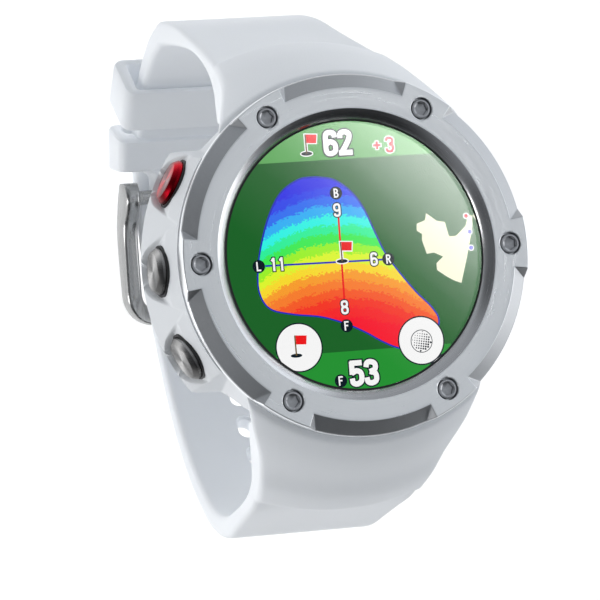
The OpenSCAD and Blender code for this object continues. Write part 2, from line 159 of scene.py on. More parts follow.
def prism(outline, low, high):
    """A straight solid along Z from (x, y) points."""
    return solid([[(x, y, z) for x, y in outline] for z in (low, high)])


def box(low, high):
    (x0, y0, z0), (x1, y1, z1) = low, high
    return prism([(x0, y0), (x1, y0), (x1, y1), (x0, y1)], z0, z1)


def side_box(side, half_w, near, far, low, high):
    """A box across X that reaches from near to far along Y, on one side of the dial's axis."""
    y0, y1 = sorted((side * near, side * far))
    return box((-half_w, y0, low), (half_w, y1, high))


def rod(radius, half_length, place, steps=48):
    """A round bar along X."""
    mesh = turned([(radius, -half_length), (radius, half_length)], steps, closed=False)
    mesh.transform(Matrix.Translation(Vector(place) * MM) @ Matrix.Rotation(math.pi / 2, 4, "Y"))
    return mesh


def baked(made):
    """The mesh of an object with its modifiers applied; the object is removed."""
    graph = bpy.context.evaluated_depsgraph_get()
    mesh = bpy.data.meshes.new_from_object(made.evaluated_get(graph))
    bpy.data.objects.remove(made)
    return mesh


def combine(mesh, others, operation):
    """Adds closed meshes to a closed mesh, or cuts them from it."""
    base = placed("temporary", mesh)
    helpers = [placed("temporary", other) for other in others]
    for helper in helpers:
        modifier = base.modifiers.new("combine", "BOOLEAN")
        modifier.operation, modifier.solver, modifier.object = operation, "EXACT", helper
    result = baked(base)
    for helper in helpers:
        bpy.data.objects.remove(helper)
    return result


def joined(meshes):
    """Several meshes as one, with their materials kept."""
    bm = bmesh.new()
    result = bpy.data.meshes.new("joined")
    materials = []
    for mesh in meshes:
        start = len(bm.faces)
        bm.from_mesh(mesh)
        bm.faces.ensure_lookup_table()
        own = list(mesh.materials)
        for material in own:
            if material not in materials:
                materials.append(material)
        for face in bm.faces[start:]:
            if own:
                face.material_index = materials.index(own[face.material_index])
    bm.to_mesh(result)
    bm.free()
    for material in materials:
        result.materials.append(material)
    return result


def piece(name, mesh, body, material=None, nodes=(), sharp=35, place=None):
    """A finished piece of the watch, which rides on a body and may stand for CAD nodes."""
    made = placed(name, mesh)
    if material:
        mesh.materials.clear()
        mesh.materials.append(material)
    mesh.polygons.foreach_set("use_smooth", [True] * len(mesh.polygons))
    mesh.set_sharp_from_angle(angle=math.radians(sharp))
    if place:
        made.matrix_world = place
    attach(made, body)
    if nodes:
        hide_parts(*nodes)
    return made


# ---- materials
def new_material(name, color, metallic=0.0, roughness=0.5, **sockets):
    material = bpy.data.materials.new(name)
    material.use_nodes = True
    shader = material.node_tree.nodes["Principled BSDF"]
    values = {"Base Color": (*color, 1), "Metallic": metallic, "Roughness": roughness, **sockets}
    for socket, value in values.items():
        shader.inputs[socket.replace("_", " ")].default_value = value
    return material


def add(material, kind, inputs=None, **settings):
    """Adds a node; an input is a value or another node's output."""
    node = material.node_tree.nodes.new("ShaderNode" + kind)
    for key, value in settings.items():
        setattr(node, key, value)
    for key, value in (inputs or {}).items():
        if isinstance(value, bpy.types.NodeSocket):
            material.node_tree.links.new(value, node.inputs[key])
        else:
            node.inputs[key].default_value = value
    return node


def shader_link(material, output, socket):
    shader = material.node_tree.nodes["Principled BSDF"]
    material.node_tree.links.new(output, shader.inputs[socket])


def ramp(material, factor, stops, mode="LINEAR"):
    """A colour that follows the factor through (place, colour) stops."""
    node = add(material, "ValToRGB", {"Fac": factor})
    node.color_ramp.interpolation = mode
    elements = node.color_ramp.elements
    while len(elements) < len(stops):
        elements.new(0.5)
    for element, (place, color) in zip(elements, stops):
        element.position, element.color = place, (*color, 1)
    return node.outputs["Color"]


def math_node(material, operation, a, b):
    return add(material, "Math", {0: a, 1: b}, operation=operation).outputs[0]


def position(material):
    """The point on the piece, in its own frame, in metres."""
    return add(material, "TexCoord").outputs["Object"]


def vary(material, noise, color, spread, rough_from, rough_to):
    """Colour and roughness that follow a noise between 0 and 1."""
    low = [c * (1 - spread) for c in color]
    high = [min(1, c * (1 + spread)) for c in color]
    mix = add(material, "Mix", {"Factor": noise}, data_type="RGBA")
    mix.inputs["A"].default_value = (*low, 1)
    mix.inputs["B"].default_value = (*high, 1)
    shader_link(material, mix.outputs["Result"], "Base Color")
    rough = add(material, "MapRange", {"Value": noise, "From Min": 0.25, "From Max": 0.75,
                                       "To Min": rough_from, "To Max": rough_to})
    shader_link(material, rough.outputs["Result"], "Roughness")


def bump(material, height, distance):
    node = add(material, "Bump", {"Height": height, "Distance": distance * MM})
    shader_link(material, node.outputs["Normal"], "Normal")


def moulded(name, color, grain=0.02, rough=(0.42, 0.6), **sockets):
    """Moulded rubber or plastic: a fine grain, and faint clouds of colour and gloss."""
    material = new_material(name, color, **sockets)
    point = position(material)
    clouds = add(material, "TexNoise", {"Vector": point, "Scale": 90.0, "Detail": 3.0})
    vary(material, clouds.outputs["Fac"], color, 0.025, *rough)
    fine = add(material, "TexNoise", {"Vector": point, "Scale": 5200.0, "Detail": 2.0})
    bump(material, fine.outputs["Fac"], grain)
    return material


def round_lines(material, across=2600.0, along=2.5):
    """Noise in fine circles round the piece's Z axis, as a lathe leaves."""
    point = position(material)
    flat = add(material, "VectorMath", {0: point, 1: (1, 1, 0)}, operation="MULTIPLY").outputs[0]
    way = add(material, "VectorMath", {0: flat}, operation="NORMALIZE").outputs[0]
    way = add(material, "VectorMath", {0: way, "Scale": along}, operation="SCALE").outputs[0]
    radius = add(material, "VectorMath", {0: flat}, operation="LENGTH").outputs["Value"]
    far = math_node(material, "MULTIPLY", radius, across)
    height = add(material, "SeparateXYZ", {0: point}).outputs["Z"]
    far = math_node(material, "ADD", far, math_node(material, "MULTIPLY", height, across))
    line = add(material, "CombineXYZ", {"Z": far}).outputs[0]
    where = add(material, "VectorMath", {0: way, 1: line}, operation="ADD").outputs[0]
    return add(material, "TexNoise", {"Vector": where, "Scale": 1.0, "Detail": 4.0,
                                      "Roughness": 0.7}).outputs["Fac"]


def lathe_steel(name, color, rough, spread=0.06, depth=0.004, grain=0.6, across=2600.0, painted_fan=()):
    """Turned metal. When a fan is given, bright and dark sectors round the middle are multiplied into the
    colour: painted highlights that fan out from the middle.
    """
    material = new_material(name, color, metallic=1.0, Anisotropic=grain)
    lines = round_lines(material, across)
    vary(material, lines, color, spread, *rough)
    bump(material, lines, depth)
    around = add(material, "Tangent", direction_type="RADIAL", axis="Z")
    shader_link(material, around.outputs[0], "Tangent")
    # Painted highlight: the colour is made brighter and darker by angle round the middle.
    if painted_fan:
        turn = add(material, "TexGradient", {"Vector": position(material)}, gradient_type="RADIAL")
        plain = material.node_tree.nodes["Principled BSDF"].inputs["Base Color"].links[0].from_socket
        mix = add(material, "Mix", {"Factor": 1.0}, data_type="RGBA", blend_type="MULTIPLY")
        material.node_tree.links.new(plain, mix.inputs["A"])
        painted_sectors = ramp(material, turn.outputs["Fac"], [(at, (v, v, v)) for at, v in painted_fan])
        material.node_tree.links.new(painted_sectors, mix.inputs["B"])
        shader_link(material, mix.outputs["Result"], "Base Color")
    return material


def blasted_steel(name, color, rough=(0.36, 0.5)):
    """Bead-blasted metal: a dense, even grain."""
    material = new_material(name, color, metallic=1.0)
    grain = add(material, "TexNoise", {"Vector": position(material), "Scale": 6000.0, "Detail": 3.0})
    vary(material, grain.outputs["Fac"], color, 0.1, *rough)
    bump(material, grain.outputs["Fac"], 0.012)
    return material


def satin_steel(name, color, rough=(0.2, 0.34), stretch=(60.0, 1800.0, 1800.0), spread=0.07):
    """Metal brushed along X, unless stretch says otherwise."""
    material = new_material(name, color, metallic=1.0)
    along = add(material, "Mapping", {"Vector": position(material), "Scale": stretch})
    lines = add(material, "TexNoise", {"Vector": along.outputs[0], "Scale": 1.0, "Detail": 3.0})
    vary(material, lines.outputs["Fac"], color, spread, *rough)
    bump(material, lines.outputs["Fac"], 0.001)
    return material


# White silicone. Its faint emission is a painted glow, which lightens the shaded insides of the straps and
# keepers.
glowing_rubber_white = moulded("glowing_rubber_white", (0.88, 0.9, 0.925), rough=(0.4, 0.55), Subsurface_Weight=0.12,
                       Emission_Color=(0.9, 0.95, 1, 1), Emission_Strength=0.06,
                       Subsurface_Radius=(0.0016, 0.0016, 0.0018), Subsurface_Scale=1.0)
resin_white = moulded("resin_white", (0.82, 0.84, 0.862), grain=0.012, rough=(0.34, 0.48))
bezel_face = lathe_steel("bezel_face", (0.93, 0.945, 0.965), (0.24, 0.4), grain=0.55)
bezel_slope = lathe_steel("bezel_slope", (0.66, 0.66, 0.67), (0.18, 0.3), grain=0.3, depth=0.002)
bezel_notch = blasted_steel("bezel_notch", (0.56, 0.57, 0.585))
# Near black for the walls of the screw holes: painted shade in the gap round each screw head.
bezel_hole_shade = blasted_steel("bezel_hole_shade", (0.12, 0.12, 0.125))
screw_steel = lathe_steel("screw_steel", (0.5, 0.505, 0.52), (0.25, 0.4), grain=0.2, across=5000.0)
# Brightness by angle round a button's face: a painted fan of highlights and dark sectors.
PAINTED_FAN = [(0, 0.35), (0.07, 0.8), (0.13, 1), (0.22, 0.4), (0.33, 0.2), (0.45, 0.3), (0.53, 0.85), (0.6, 1),
       (0.7, 0.5), (0.8, 0.18), (0.93, 0.25), (1, 0.35)]
button_bare = lathe_steel("button_bare", (0.55, 0.54, 0.53), (0.24, 0.34), grain=0.8, across=6000.0, painted_fan=PAINTED_FAN)
button_red = lathe_steel("button_red", (0.62, 0.006, 0.02), (0.2, 0.3), grain=0.8, across=6000.0, painted_fan=PAINTED_FAN)
buckle_satin = satin_steel("buckle_satin", (0.42, 0.42, 0.415), rough=(0.25, 0.29), spread=0.025,
                           stretch=(1500.0, 40.0, 700.0))
inner_steel = satin_steel("inner_steel", (0.6, 0.61, 0.63))
back_brushed = satin_steel("back_brushed", (0.66, 0.67, 0.69), stretch=(40.0, 2200.0, 200.0))
gasket_black = moulded("gasket_black", (0.012, 0.012, 0.013), rough=(0.4, 0.6))
plastic_black = moulded("plastic_black", (0.03, 0.03, 0.034), rough=(0.35, 0.55))
board_green = moulded("board_green", (0.02, 0.14, 0.06), rough=(0.25, 0.45))
flex_amber = moulded("flex_amber", (0.5, 0.22, 0.03), rough=(0.25, 0.4))
foil_silver = blasted_steel("foil_silver", (0.6, 0.61, 0.63), rough=(0.3, 0.5))
gold_plate = satin_steel("gold_plate", (0.8, 0.56, 0.2), rough=(0.15, 0.3))
antenna_gold = satin_steel("antenna_gold", (0.72, 0.55, 0.28), rough=(0.3, 0.45))
glass_clear = new_material("glass_clear", (1, 1, 1), roughness=0.0, Transmission_Weight=1.0, IOR=1.45,
                           Specular_IOR_Level=1.0)

# ---- strap ends round the case
CASE_LIMIT_R = 22.7
HOOD_TOP = 11.85
BAR_R, BAR_ROOM, BAR_Y_OUT, BAR_Z = 0.93, 9.7, 23.7, 4.2

upper_hood_r = table([(12, 23.9), (8.8, 25.5), (4.1, 27.7), (1.4, 28.8), (-1.6, 29.9), (-3, 30.4)])
lower_hood_r = table([(12, 24.1), (8.8, 26.6), (4.6, 29.1), (1.6, 31), (-1.8, 32.5), (-3, 33)])
upper_half_w = table([(12.7, 17.1), (8.8, 15.1), (4.1, 13.3), (-2.8, 12.1), (-9, 11.4), (-16.3, 10.9),
                      (-22.7, 10.7), (-32, 10.6), (-42, 10.2), (-58, 10)])
lower_half_w = table([(12.7, 16.4), (9.6, 15), (5.2, 13.1), (-1, 11.8), (-7.2, 11.3), (-15.2, 10.8),
                      (-20, 10.4), (-30, 9.9), (-44, 9.7), (-58, 9.7)])


def section(outer, inner, half_w, lift_out, lift_in, edge_r):
    """A strap's cross-section: the outer face, two round edges, and the inner face."""
    out = np.array(outer, float) - np.array(inner, float)
    out /= np.linalg.norm(out)
    a = np.radians(np.linspace(90, 0, 6))
    flat = half_w - edge_r
    x = np.concatenate([-flat - edge_r * np.sin(a), np.linspace(-flat, flat, 31)[1:-1],
                        flat + edge_r * np.sin(a[::-1])])
    drop = edge_r * np.concatenate([1 - np.cos(a), np.zeros(29), 1 - np.cos(a[::-1])])
    high = np.outer(lift_out(x) - drop, out) + outer
    low = np.outer(lift_in(x) + drop, out) + inner
    return [(px, py, pz) for px, (py, pz) in zip([*x, *x[::-1]], [*high, *low[::-1]])]


def hood_sections(side, radius_at, half_w_at, end_z):
    """Cross-sections of the part that covers the case's edge, from the bezel down to its step."""
    top = [(HOOD_TOP, -0.45), (HOOD_TOP - 0.1, -0.16), (HOOD_TOP - 0.3, -0.03)]
    middle = [(z, 0) for z in np.arange(HOOD_TOP - 0.6, end_z + 0.7, -0.4)]
    share = [(0.55, 1), (0.3, 0.985), (0.14, 0.94), (0.04, 0.84), (-0.02, 0.6), (-0.06, 0.1),
             (-0.12, 0.03), (-0.25, 0), (-0.5, 0)]
    rings = []
    for z, grow, keep in [(z, g, 1) for z, g in top + middle] + [(end_z + d, 0, k) for d, k in share]:
        half_w = float(half_w_at(z))
        radius = float(radius_at(z)) + grow
        rail, rail_in = (math.sqrt(r**2 - half_w**2) for r in (radius, CASE_LIMIT_R))

        def cover(x, r=radius, y=rail, k=keep, w=half_w):
            return k * (np.sqrt(r**2 - np.clip(x, -w, w)**2) - y)

        def inside(x, y=rail_in, w=half_w):
            return np.sqrt(CASE_LIMIT_R**2 - np.clip(x, -w, w)**2) - y

        rings.append(section((side * rail, z), (side * rail_in, z), half_w, cover, inside,
                             min(0.8, 0.4 * (rail - rail_in))))
    return rings


def strap_sections(rails, half_w_at, start_z, edge_r=0.8, last_w=()):
    """Cross-sections of the flat part of a strap, from (y, z) pairs of its outer and inner faces."""
    rows = [row for row in rails if not (row[1] > start_z and abs(row[0]) < 33)]
    rings = []
    for k, (yo, zo, yi, zi) in enumerate(rows):
        half_w = float(half_w_at(zo))
        left = len(rows) - 1 - k
        if left < len(last_w):
            half_w = last_w[left]
        depth = math.hypot(yo - yi, zo - zi)
        rings.append(section((yo, zo), (yi, zi), half_w, lambda x: 0 * x, lambda x: 0 * x,
                             min(edge_r, 0.42 * depth)))
    return rings


# ---- the strap's loop
ARC_CENTRE = np.array([14.2, -29.0])
ARC_IN, ARC_OUT = 19.8, 23.2
TAIL_IN, TAIL_OUT = 23.3, 25.4
LOOP_CENTRE = np.array([23.0, -53.6])
LOOP_TILT = math.radians(17)
LOOP_LENGTH = 6.6
KEEPER_HALF_W, KEEPER_WALL, KEEPER_DEPTH = 12.9, 1.3, 7.4
PIN = (14.9, -49.0)
PIN_HOLE_R = 1.04


def on_arc(radius, degrees):
    a = math.radians(degrees)
    return ARC_CENTRE + radius * np.array([math.sin(a), -math.cos(a)])


def arc_rails(outer_r, inner_r, start, end, count):
    return [[*on_arc(outer_r, a), *on_arc(inner_r, a)] for a in np.linspace(start, end, count)]


def loop_point(inward, along):
    """A point beside the middle of the fixed keeper's outer face."""
    s, c = math.sin(LOOP_TILT), math.cos(LOOP_TILT)
    return LOOP_CENTRE + inward * np.array([-s, c]) + along * np.array([c, s])


def rounded_loop(half_w, near, far, radius, steps=6):
    """A rounded rectangle of (x, depth) points."""
    points = []
    for k, (x, y) in enumerate([(1, far), (-1, far), (-1, near), (1, near)]):
        cx, cy = x * (half_w - radius), y + (radius if y == near else -radius)
        for t in np.linspace(0, math.pi / 2, steps):
            a = t + k * math.pi / 2
            points.append((cx + radius * math.cos(a), cy + radius * math.sin(a)))
    return np.array(points)


def band(outside, hole, length, wall, edge=0.45):
    """A keeper: a short tube with rounded ends, as (x, depth, along) points."""
    half, f = length / 2, edge / wall
    rim = [(half - edge, 0), (half - 0.3 * edge, 0.3 * f), (half, f), (half, 1 - f),
           (half - 0.3 * edge, 1 - 0.3 * f), (half - edge, 1)]
    walk = rim + [(-along, mix) for along, mix in rim[::-1]]
    rings = []
    for along, mix in walk:
        loop = outside * (1 - mix) + hole * mix
        rings.append([(x, depth, along) for x, depth in loop])
    return np.array(rings)


def lug_rooms(side):
    """Room in a strap's end for the case's lug and for the spring bar."""
    return [side_box(side, 6.1, 10, 25.8, -1, 6.1), rod(BAR_R, BAR_ROOM, (0, side * BAR_Y_OUT, BAR_Z))]


def make_upper_strap():
    """The 12 o'clock strap, with the fixed keeper and the slot for the tongue."""
    hood = hood_sections(1, upper_hood_r, upper_half_w, -1.6)
    rails = smooth([(27.9, -3, 22.4, -2.5), (28.8, -5.4, 25.4, -4.8), (30.3, -9, 28.3, -9.2),
                    (33.2, -16.3, 30.8, -15), (35.8, -23, 32.6, -21.8)]
                   + arc_rails(ARC_OUT, ARC_IN, 88, 33, 9)
                   + [(25.1, -49.15, 23.5, -46.3), (21.9, -50.15, 21, -47.1), (18.8, -51, 18.6, -47.35),
                      (16.8, -51, 16.8, -47.2), (14.9, -50.8, 14.9, -47.2), (13.7, -50.35, 13.7, -47.65),
                      (13.15, -49.6, 13.15, -48.4)], 5)
    body = strap_sections(rails, upper_half_w, -1.9)
    narrow = []
    for ring in body:
        ring = np.array(ring)
        y = ring[:, 1].mean()
        if ring[:, 2].mean() < -40 and y < 19.5:
            ring[:, 0] *= 1 - (1 - 8 / ring[:, 0].max()) * min(1, (19.5 - y) / 1.4)
        narrow.append(ring)
    upper = solid(hood + narrow)
    tail_room = rounded_loop(11.1, KEEPER_WALL, 3.65, 0.6)
    keeper = band(rounded_loop(KEEPER_HALF_W, 0, KEEPER_DEPTH, 1.5), tail_room, LOOP_LENGTH, KEEPER_WALL)
    place = [[(x, *loop_point(depth, along * (1 - (0.4 if along > 0 else 0.2) * depth / KEEPER_DEPTH)))
              for x, depth, along in ring] for ring in keeper]
    room = solid([[(x, *loop_point(depth, along)) for x, depth in tail_room] for along in (-3.2, 3.2)])
    upper = combine(upper, [solid(place, closed=True)], "UNION")
    rooms = [room, *lug_rooms(1), rod(PIN_HOLE_R, 20, (0, *PIN)), box((-1.7, 9.9, -53), (1.7, 17.1, -45))]
    upper = combine(upper, rooms, "DIFFERENCE")
    piece("upper_strap", upper, "watch", glowing_rubber_white, ["strap_upper"])


def make_lower_strap():
    """The 6 o'clock strap, with its holes and its tapered tip."""
    hood = hood_sections(-1, lower_hood_r, lower_half_w, -1.8)
    outer = [(-30.5, -3.2), (-31.2, -4.9), (-31.8, -6.9), (-32.6, -10.5), (-33.7, -15.2), (-34.7, -20),
             (-34.2, -25.8), (-32.6, -30.2), (-29.7, -34.4), (-25.9, -38.5), (-21.5, -42), (-17, -44.8),
             (-12, -47.2), (-6, -49.5), (-1, -51.1), (4, -52.2), (10, -53), (16, -53.7),
             loop_point(1.42, -3.3), loop_point(1.42, 3.3)]
    inner = [(-23.4, -2.6), (-26.6, -3.6), (-28.6, -6.2), (-30, -10.5), (-31, -15.6), (-31.6, -20.4),
             (-31.2, -25), (-29.8, -28.8), (-27.2, -32.5), (-23.7, -36.3), (-19.7, -39.6), (-15.6, -42.2),
             (-11, -44.6), (-5.2, -47.1), (-0.4, -48.9), (4.4, -50.1), (10.1, -50.9), (16, -51.6),
             loop_point(3.52, -3.3), loop_point(3.52, 3.3)]
    rails = smooth([[*o, *i] for o, i in zip(outer, inner)] + arc_rails(TAIL_OUT, TAIL_IN, 34, 45, 3), 5)
    body = strap_sections(rails, lower_half_w, -2.1, last_w=(7.6, 8.8, 9.3, 9.55))
    lower = solid(hood + body)
    slots = []
    for y, z, slope in [(8, -51.6, 7), (1.4, -50.45, 15), (-4.2, -48.55, 21), (-9.6, -46.4, 23),
                        (-14.9, -44, 26), (-19.9, -41.2, 33), (-24.4, -37.6, 42)]:
        slots.append(strap_slot(y, z, slope))
    lower = combine(lower, slots + lug_rooms(-1), "DIFFERENCE")
    piece("lower_strap", lower, "watch", glowing_rubber_white, ["strap_lower"])


def strap_slot(y, z, slope, width=2.2, length=3.4):
    """The cutter for one strap hole, which flares a little at both faces."""
    loop = rounded_loop(width / 2, -length / 2, length / 2, width / 2 - 0.01, 7)
    rings = []
    for height, grow in [(-3, 0.35), (-1.15, 0.25), (-0.85, 0), (0.85, 0), (1.15, 0.25), (3, 0.35)]:
        ring = loop * (1 + grow / (width / 2) * np.array([1, width / length]))
        rings.append([(px, py, height) for px, py in ring])
    mesh = solid(rings)
    turn = Matrix.Rotation(-math.radians(slope), 4, "X")
    mesh.transform(Matrix.Translation(Vector((0, y, z)) * MM) @ turn)
    return mesh


def make_keeper():
    """The free keeper, which lies across both straps on the arc."""
    outside = rounded_loop(KEEPER_HALF_W, 18.15, 26.95, 1.6)
    hole = rounded_loop(11, 19.28, 25.65, 0.6)
    rings = band(outside, hole, LOOP_LENGTH, KEEPER_WALL)
    a = math.radians(42)
    out, along_way = np.array([math.sin(a), -math.cos(a)]), np.array([math.cos(a), math.sin(a)])
    place = [[(x, *(ARC_CENTRE + r * out + along * along_way)) for x, r, along in ring] for ring in rings]
    piece("free_keeper", solid(place, closed=True), "keeper", glowing_rubber_white, ["keeper_free"])


make_upper_strap()
make_lower_strap()
make_keeper()

# ---- case
BUTTON_ANGLES = {"upper": 152.6, "middle": 180.0, "lower": 207.4}
BUTTON_Z = 6.6
BOSS_FACE = 24.4
BOSS_R, BOSS_FLARE = 3.55, math.radians(24)
WALL_R = 22.6
GUARD_FOOT, GUARD_SLOPE = 16.2, 0.2
guard_r = table([(2, 24.3), (2.1, 24.9), (2.4, 25.5), (2.8, 25.8), (3.2, 25.9), (3.7, 25.76), (11.9, 23.5)])


def boss_share(turn, z):
    """1 on the flat round a button, 0 beside it. The flat widens towards the bezel."""
    x, up = BOSS_FACE * np.tan(np.clip(turn, -1, 1)), z - BUTTON_Z
    circle = np.hypot(x, up) - BOSS_R
    flank = np.abs(x) * math.cos(BOSS_FLARE) - up * math.sin(BOSS_FLARE) - BOSS_R
    away = np.where(up > -BOSS_R * math.sin(BOSS_FLARE), np.minimum(circle, flank), circle)
    edge = np.clip(0.5 - away / 0.4, 0, 1)
    return np.where(np.abs(turn) < 0.6, edge * edge * (3 - 2 * edge), 0)


def case_radius(angle, z):
    """The case's outside: a round wall, and a block that stands out round the buttons."""
    radius = guard_r(z)
    for centre in BUTTON_ANGLES.values():
        turn = (angle - math.radians(centre) + math.pi) % (2 * math.pi) - math.pi
        share = boss_share(turn, z)
        lean = BOSS_FACE - 0.28 * np.maximum(z - 9, 0)
        face = np.minimum(BOSS_FACE / math.cos(min(abs(turn), 0.7)), lean)
        radius = radius * (1 - share) + np.minimum(face, radius + 0.1) * share
    end = (GUARD_FOOT - GUARD_SLOPE * z) / max(abs(math.sin(angle)), 0.05)
    if math.cos(angle) > -0.4:
        end = end * 0
    return soft_max(soft_min(radius, end, 0.25), WALL_R - np.clip(2.5 - z, 0, 1) * 0.6, 0.2)


def make_case():
    """The case's ring, with a lug at each strap and a bore at each button."""
    angles = np.radians(np.concatenate([np.arange(-136, 136, 4.0), np.arange(136, 224, 0.25)]))
    z = np.concatenate([[2, 2.1, 2.25, 2.5, 2.8, 3.2], np.linspace(3.5, 11.88, 70)])
    inside = [(17.58, 11.88), (17.58, 8.4), (17, 8.4), (17, 3.1), (15.6, 3.1), (15.6, 2)]
    rings = []
    for a in angles:
        profile = list(zip(case_radius(a, z), z)) + inside
        rings.append([(r * math.cos(a), r * math.sin(a), height) for r, height in profile])
    case = solid(rings, closed=True)
    case = combine(case, [side_box(s, 6, 21.3, 25.7, 2.6, 6) for s in (-1, 1)], "UNION")
    cutters = [rod(0.95, 20, (0, s * BAR_Y_OUT, BAR_Z), 32) for s in (-1, 1)]
    for angle in BUTTON_ANGLES.values():
        for profile in ([(3.12, 22.3), (3.12, 24.25), (3.4, 24.55), (3.4, 30)],
                        [(1.35, 21.1), (1.35, 23)], [(0.84, 5), (0.84, 30)]):
            cutter = turned(profile, 64, closed=False)
            cutter.transform(button_place(angle))
            cutters.append(cutter)
    case = combine(case, cutters, "DIFFERENCE")
    piece("case", case, "watch", resin_white, ["case_body"], sharp=28)


def button_place(angle):
    """Turns local +Z to point out of the case at a button."""
    return (Matrix.Rotation(math.radians(angle), 4, "Z") @ Matrix.Translation((0, 0, BUTTON_Z * MM))
            @ Matrix.Rotation(math.pi / 2, 4, "Y"))


make_case()

# ---- buttons and springs
BUTTON_FACE, SPRING_FOOT = 25.5, 22.3
SPRING_HEAD = 24.7 - 0.16


def make_buttons():
    face = BUTTON_FACE
    profile = [(0.01, face - 0.06), (0.5, face - 0.05), (1.6, face - 0.02), (2.42, face),
               (2.5, face - 0.02), (2.56, face - 0.08), (2.93, face - 0.5), (3.0, face - 0.62),
               (3.0, face - 2.2), (2.9, face - 2.3), (2.4, face - 2.3), (2.4, face - 0.8),
               (0.8, face - 0.8), (0.8, 16.45), (0.75, 16.4), (0.01, 16.4)]
    for name, angle in BUTTON_ANGLES.items():
        red = name == "upper"
        piece(f"{name}_button", turned(profile, 96, closed=False), f"{name}_button",
              button_red if red else button_bare,
              [f"button_{name}"], sharp=25, place=button_place(angle))
        # A thin black ring round the foot of each button: painted shadow in the gap of the button's bore.
        ring = turned([(3.06, 24.1), (3.34, 24.1), (3.34, 24.46), (3.06, 24.46)], 96)
        piece(f"{name}_shadow_ring", ring, "watch", gasket_black, place=button_place(angle))
        spring = piece(f"{name}_spring", coil(SPRING_FOOT, SPRING_HEAD), "watch", inner_steel,
                       [f"spring_{name}"], place=button_place(angle))
        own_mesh(spring)


def coil(low, high, turns=4.5, radius=1.8, wire=0.16):
    """A compression spring along Z with a flat turn at each end."""
    count = 180
    t = np.linspace(0, turns, count)
    lift = np.interp(t, [0, 0.8, turns - 0.8, turns], [0, 0.1, 0.9, 1])
    centres = np.stack([radius * np.cos(2 * np.pi * t), radius * np.sin(2 * np.pi * t),
                        low + wire + lift * (high - low - 2 * wire)], 1)
    rings = []
    for centre in centres:
        out = np.array([centre[0], centre[1], 0]) / radius
        ring = [centre + wire * (math.cos(b) * out + math.sin(b) * np.array([0, 0, 1]))
                for b in np.linspace(0, 2 * np.pi, 10, endpoint=False)]
        rings.append(ring)
    return solid(rings)


make_buttons()

# ---- bezel and its screws
BEZEL_TOP, BEZEL_LOW = 14.0, 11.9
WINDOW_R, SLOPE_R, NOTCH_R, BEZEL_R = 17.56, 18.87, 21.53, 23.5
NOTCH_HALF = math.radians(21.8)
NOTCH_FALL = 1.28 / 1.97
SCREW_CIRCLE, SCREW_HEAD_R, SCREW_HOLE_R = 21.06, 1.27, 1.44


def bezel_height(radius, angle):
    """Height of the bezel's top, with its notches, and how deep inside a notch the point is."""
    turn = angle % math.radians(60) - math.radians(30)
    cone = -(radius - NOTCH_R) * NOTCH_FALL
    end_a, end_b = -radius * np.sin(turn + NOTCH_HALF), radius * np.sin(turn - NOTCH_HALF)
    floor = soft_max(cone, soft_max(end_a, end_b))
    return BEZEL_TOP + soft_min(floor, 0), -floor


def screw_place(k):
    return Matrix.Rotation(math.radians(60 * k), 4, "Z") @ Matrix.Translation((SCREW_CIRCLE * MM, 0, 0))


def make_bezel():
    """The ring. Its points lie closer together where a notch ends."""
    near_end = np.concatenate([np.arange(0, 6.5, 0.75), np.arange(6.5, 13, 0.125), np.arange(13, 30, 1.0)])
    sector = np.concatenate([near_end, 60 - near_end[::-1][:-1], [30]])
    sector = np.unique(np.round(sector, 4))
    sector = sector[sector < 59.99]
    angles = np.radians(np.concatenate([sector + 60 * k for k in range(6)]))
    rim, rim_drop = [23.3, 23.36, 23.42, 23.47, 23.5], [0, 0.012, 0.045, 0.1, 0.17]
    radii = np.concatenate([[18.83, 18.9, 19.0, 19.4, 20.0, 20.6, 21.1], np.arange(21.4, 21.8, 0.045),
                            np.arange(21.85, 23.3, 0.12), rim])
    edge_drop = np.interp(radii, rim, rim_drop)
    rings = []
    for a in angles:
        height, _ = bezel_height(radii, np.full_like(radii, a))
        height = height - edge_drop
        height[0] = BEZEL_TOP - 0.03
        profile = [(WINDOW_R, BEZEL_LOW), (WINDOW_R, 12.94), (WINDOW_R + 0.03, 13.02), (18.2, 13.46)]
        profile += list(zip(radii, height))
        profile += [(BEZEL_R, 12.3), (BEZEL_R, BEZEL_LOW + 0.1), (23.4, BEZEL_LOW)]
        rings.append([(r * math.cos(a), r * math.sin(a), z) for r, z in profile])
    mesh = solid(rings, closed=True)
    for material in (bezel_face, bezel_slope, bezel_notch):
        mesh.materials.append(material)
    for face in mesh.polygons:
        middle = face.center / MM
        radius, angle = math.hypot(middle.x, middle.y), math.atan2(middle.y, middle.x)
        _, deep = bezel_height(np.array([radius]), np.array([angle]))
        if radius < SLOPE_R - 0.02 and middle.z > 12.98:
            face.material_index = 1
        elif deep[0] > 0.02 and radius < BEZEL_R - 0.03 and middle.z > 12.5:
            face.material_index = 2
    cutter = turned([(1.5, 14.5), (1.5, 14.0), (SCREW_HOLE_R, 13.93), (SCREW_HOLE_R, 12.5), (0.75, 12.5),
                     (0.75, 11)], 48, closed=False)
    cutters = []
    for k in range(6):
        copy = cutter.copy()
        # The hole walls take the near-black colour, a painted shade round each screw.
        copy.materials.append(bezel_hole_shade)
        copy.transform(screw_place(k))
        cutters.append(copy)
    mesh = combine(mesh, cutters, "DIFFERENCE")
    piece("bezel_ring", mesh, "watch", None, ["bezel"], sharp=50)


